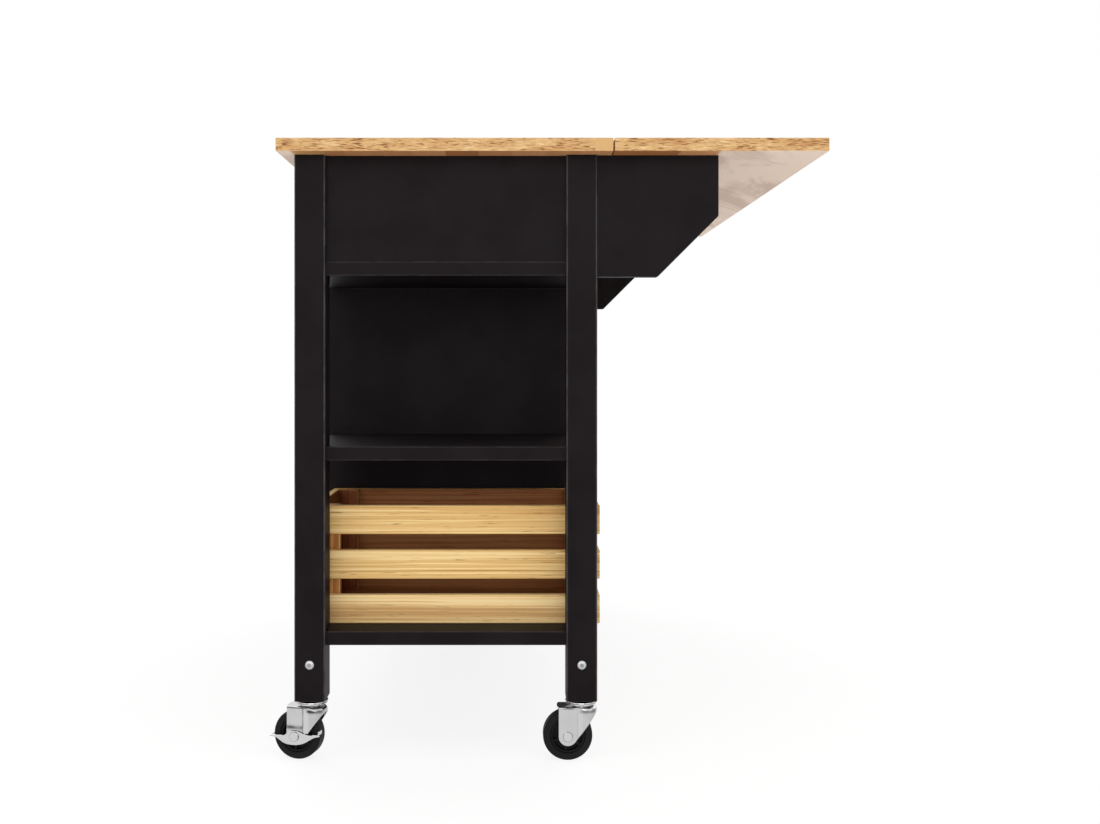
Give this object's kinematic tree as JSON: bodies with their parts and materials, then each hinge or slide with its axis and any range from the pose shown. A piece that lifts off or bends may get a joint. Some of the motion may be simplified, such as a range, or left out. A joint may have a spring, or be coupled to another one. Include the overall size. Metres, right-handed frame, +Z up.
{
  "type": "drop leaf kitchen island",
  "caption": "Rolling kitchen island: light wood top with a drop leaf on swing-out supports, black frame with an open end bay, slatted crate, cabinet doors and drawers, swivel casters.",
  "frame": {"origin": "on the floor, under the middle of the bounding box of the whole island with its leaf raised and its casters as built", "axes": "+Z up; +X from the door and drawer side to the drop leaf; +Y along the worktop, away from the open end bay"},
  "size_m": [0.7716, 1.1, 0.861],
  "materials": {
    "oak_top": "satin clear-oiled hardwood",
    "black_paint": "satin black paint on wood",
    "pine_slats": "satin clear varnish",
    "bright_steel": "zinc-plated",
    "nickel": "satin nickel",
    "chrome": "polished",
    "tyre_rubber": "satin",
    "hub_plastic": "matte"
  },
  "bodies": {
    "frame": {"worktop": "oak_top", "leg_near_front": "black_paint", "leg_near_rear": "black_paint", "leg_far_front": "black_paint", "leg_far_rear": "black_paint", "near_end_apron": "black_paint", "far_end_apron": "black_paint", "rear_apron": "black_paint", "far_side_panel": "black_paint", "bay_partition": "black_paint", "cabinet_back": "black_paint", "drawer_deck": "black_paint", "bay_shelf": "black_paint", "bottom_shelf": "black_paint", "cabinet_shelf": "black_paint", "drawer_divider": "black_paint", "corner_blocks": "black_paint", "runner_battens": "black_paint", "leg_bolts": "bright_steel", "hinge_fixed_plates": "bright_steel", "drawer_runner_channels": "bright_steel", "caster_mounts": "chrome"},
    "leaf": {"drop_leaf": "oak_top", "leaf_hinge_plates": "bright_steel"},
    "near_leaf_support": {"near_support": "black_paint", "near_support_hinge_plates": "bright_steel"},
    "far_leaf_support": {"far_support": "black_paint", "far_support_hinge_plates": "bright_steel"},
    "crate": {"crate_long_slats": "pine_slats", "crate_end_slats": "pine_slats", "crate_posts": "pine_slats", "crate_bottom": "pine_slats"},
    "near_cabinet_door": {"near_door": "black_paint", "near_door_knob": "nickel", "near_door_hinge_plates": "bright_steel"},
    "far_cabinet_door": {"far_door": "black_paint", "far_door_knob": "nickel", "far_door_hinge_plates": "bright_steel"},
    "near_drawer": {"near_drawer_front": "black_paint", "near_drawer_knob": "nickel", "near_drawer_box": "pine_slats", "near_drawer_runner_bars": "bright_steel"},
    "far_drawer": {"far_drawer_front": "black_paint", "far_drawer_knob": "nickel", "far_drawer_box": "pine_slats", "far_drawer_runner_bars": "bright_steel"},
    "swivel_near_front": {"caster_fork_near_front": "chrome"},
    "wheel_near_front": {"caster_hub_near_front": "hub_plastic", "caster_tyre_near_front": "tyre_rubber"},
    "brake_near_front": {"brake_lever_near_front": "chrome"},
    "swivel_near_rear": {"caster_fork_near_rear": "chrome"},
    "wheel_near_rear": {"caster_hub_near_rear": "hub_plastic", "caster_tyre_near_rear": "tyre_rubber"},
    "swivel_far_front": {"caster_fork_far_front": "chrome"},
    "wheel_far_front": {"caster_hub_far_front": "hub_plastic", "caster_tyre_far_front": "tyre_rubber"},
    "brake_far_front": {"brake_lever_far_front": "chrome"},
    "swivel_far_rear": {"caster_fork_far_rear": "chrome"},
    "wheel_far_rear": {"caster_hub_far_rear": "hub_plastic", "caster_tyre_far_rear": "tyre_rubber"}
  },
  "joints": [
    {"name": "leaf_lift", "type": "hinge", "parent": "frame", "child": "leaf", "pos_m": [0.09279, 0, 0.841], "axis": [0, -1, 0], "range_deg": [0, 4]},
    {"name": "near_support_swing", "type": "hinge", "parent": "frame", "child": "near_leaf_support", "pos_m": [0.07379, -0.4998, 0.7582], "axis": [0, 0, 1], "range_deg": [0, 90]},
    {"name": "far_support_swing", "type": "hinge", "parent": "frame", "child": "far_leaf_support", "pos_m": [0.07379, 0.4998, 0.7582], "axis": [0, 0, -1], "range_deg": [0, 90]},
    {"name": "crate_slide", "type": "slide", "parent": "frame", "child": "crate", "axis": [1, 0, 0], "range_m": [0, 0.4]},
    {"name": "near_door_swing", "type": "hinge", "parent": "frame", "child": "near_cabinet_door", "pos_m": [-0.34291, -0.2125, 0.4263], "axis": [0, 0, 1], "range_deg": [0, 110]},
    {"name": "far_door_swing", "type": "hinge", "parent": "frame", "child": "far_cabinet_door", "pos_m": [-0.34291, 0.4775, 0.4263], "axis": [0, 0, -1], "range_deg": [0, 110]},
    {"name": "near_drawer_slide", "type": "slide", "parent": "frame", "child": "near_drawer", "axis": [-1, 0, 0], "range_m": [0, 0.25]},
    {"name": "far_drawer_slide", "type": "slide", "parent": "frame", "child": "far_drawer", "axis": [-1, 0, 0], "range_m": [0, 0.25]},
    {"name": "swivel_near_front_turn", "type": "hinge", "parent": "frame", "child": "swivel_near_front", "pos_m": [-0.32671, -0.501, 0.075], "axis": [0, 0, 1], "continuous": true},
    {"name": "wheel_near_front_roll", "type": "hinge", "parent": "swivel_near_front", "child": "wheel_near_front", "pos_m": [-0.34515, -0.4964, 0.0345], "axis": [0.2419, 0.9703, 0], "continuous": true},
    {"name": "brake_near_front_press", "type": "hinge", "parent": "swivel_near_front", "child": "brake_near_front", "pos_m": [-0.34515, -0.4964, 0.0345], "axis": [-0.2419, -0.9703, 0], "range_deg": [0, 15]},
    {"name": "swivel_near_rear_turn", "type": "hinge", "parent": "frame", "child": "swivel_near_rear", "pos_m": [0.05029, -0.501, 0.075], "axis": [0, 0, 1], "continuous": true},
    {"name": "wheel_near_rear_roll", "type": "hinge", "parent": "swivel_near_rear", "child": "wheel_near_rear", "pos_m": [0.03129, -0.501, 0.0345], "axis": [0, 1, 0], "continuous": true},
    {"name": "swivel_far_front_turn", "type": "hinge", "parent": "frame", "child": "swivel_far_front", "pos_m": [-0.32671, 0.501, 0.075], "axis": [0, 0, 1], "continuous": true},
    {"name": "wheel_far_front_roll", "type": "hinge", "parent": "swivel_far_front", "child": "wheel_far_front", "pos_m": [-0.34457, 0.4945, 0.0345], "axis": [-0.342, 0.9397, 0], "continuous": true},
    {"name": "brake_far_front_press", "type": "hinge", "parent": "swivel_far_front", "child": "brake_far_front", "pos_m": [-0.34457, 0.4945, 0.0345], "axis": [0.342, -0.9397, 0], "range_deg": [0, 15]},
    {"name": "swivel_far_rear_turn", "type": "hinge", "parent": "frame", "child": "swivel_far_rear", "pos_m": [0.05029, 0.501, 0.075], "axis": [0, 0, 1], "continuous": true},
    {"name": "wheel_far_rear_roll", "type": "hinge", "parent": "swivel_far_rear", "child": "wheel_far_rear", "pos_m": [0.03383, 0.5105, 0.0345], "axis": [0.5, 0.866, 0], "continuous": true}
  ]
}
